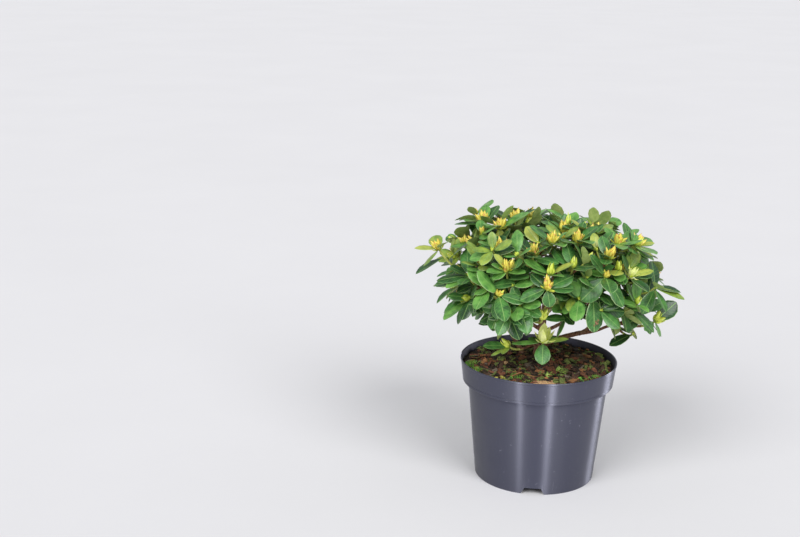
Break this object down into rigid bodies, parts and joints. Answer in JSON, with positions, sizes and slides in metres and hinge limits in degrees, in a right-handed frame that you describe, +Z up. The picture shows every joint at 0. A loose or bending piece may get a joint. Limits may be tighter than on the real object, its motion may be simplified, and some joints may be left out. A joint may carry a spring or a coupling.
{
  "type": "potted azalea shrub",
  "caption": "Compact evergreen azalea shrub with rosettes of glossy leaves and swelling buds on forked stems, in a round plastic nursery pot filled with potting mix.",
  "frame": {"origin": "middle of the pot's flat underside, on the ground", "axes": "+Z up along the pot's axis, -Y towards the shrub's front, +X to its right as seen from the front"},
  "size_m": [0.2929, 0.2559, 0.2955],
  "materials": {
    "pot_plastic": "moulded polypropylene, slate grey-blue, semi-gloss, lightly scuffed",
    "potting_mix": "moist dark peat with bark chips, litter and a little moss",
    "bark": "thin reddish-brown bark, finely cracked on the oldest stems",
    "foliage": "glossy leathery leaves, dark green with pale margins, and green and golden buds"
  },
  "bodies": {
    "root": {"bough_back_low": "bark", "bough_front_low": "bark", "bough_right_low": "bark", "bough_shoulder_1": "bark", "bough_shoulder_2": "bark", "bough_shoulder_3": "bark", "bough_shoulder_4": "bark", "bough_shoulder_5": "bark", "bough_shoulder_6": "bark", "bough_skirt_1": "bark", "bough_skirt_2": "bark", "bough_skirt_3": "bark", "bough_skirt_4": "bark", "bough_skirt_5": "bark", "bough_top_1": "bark", "bough_top_2": "bark", "bough_top_3": "bark", "foliage_back_low": "foliage", "foliage_front_low": "foliage", "foliage_right_low": "foliage", "foliage_shoulder_1": "foliage", "foliage_shoulder_2": "foliage", "foliage_shoulder_3": "foliage", "foliage_shoulder_4": "foliage", "foliage_shoulder_5": "foliage", "foliage_shoulder_6": "foliage", "foliage_skirt_1": "foliage", "foliage_skirt_2": "foliage", "foliage_skirt_3": "foliage", "foliage_skirt_4": "foliage", "foliage_skirt_5": "foliage", "foliage_top_1": "foliage", "foliage_top_2": "foliage", "foliage_top_3": "foliage", "pot": "pot_plastic", "potting_mix": "potting_mix", "stem_back": "bark", "stem_front": "bark", "stem_left": "bark", "stem_middle": "bark", "stem_right": "bark", "trunk": "bark"}
  },
  "joints": []
}
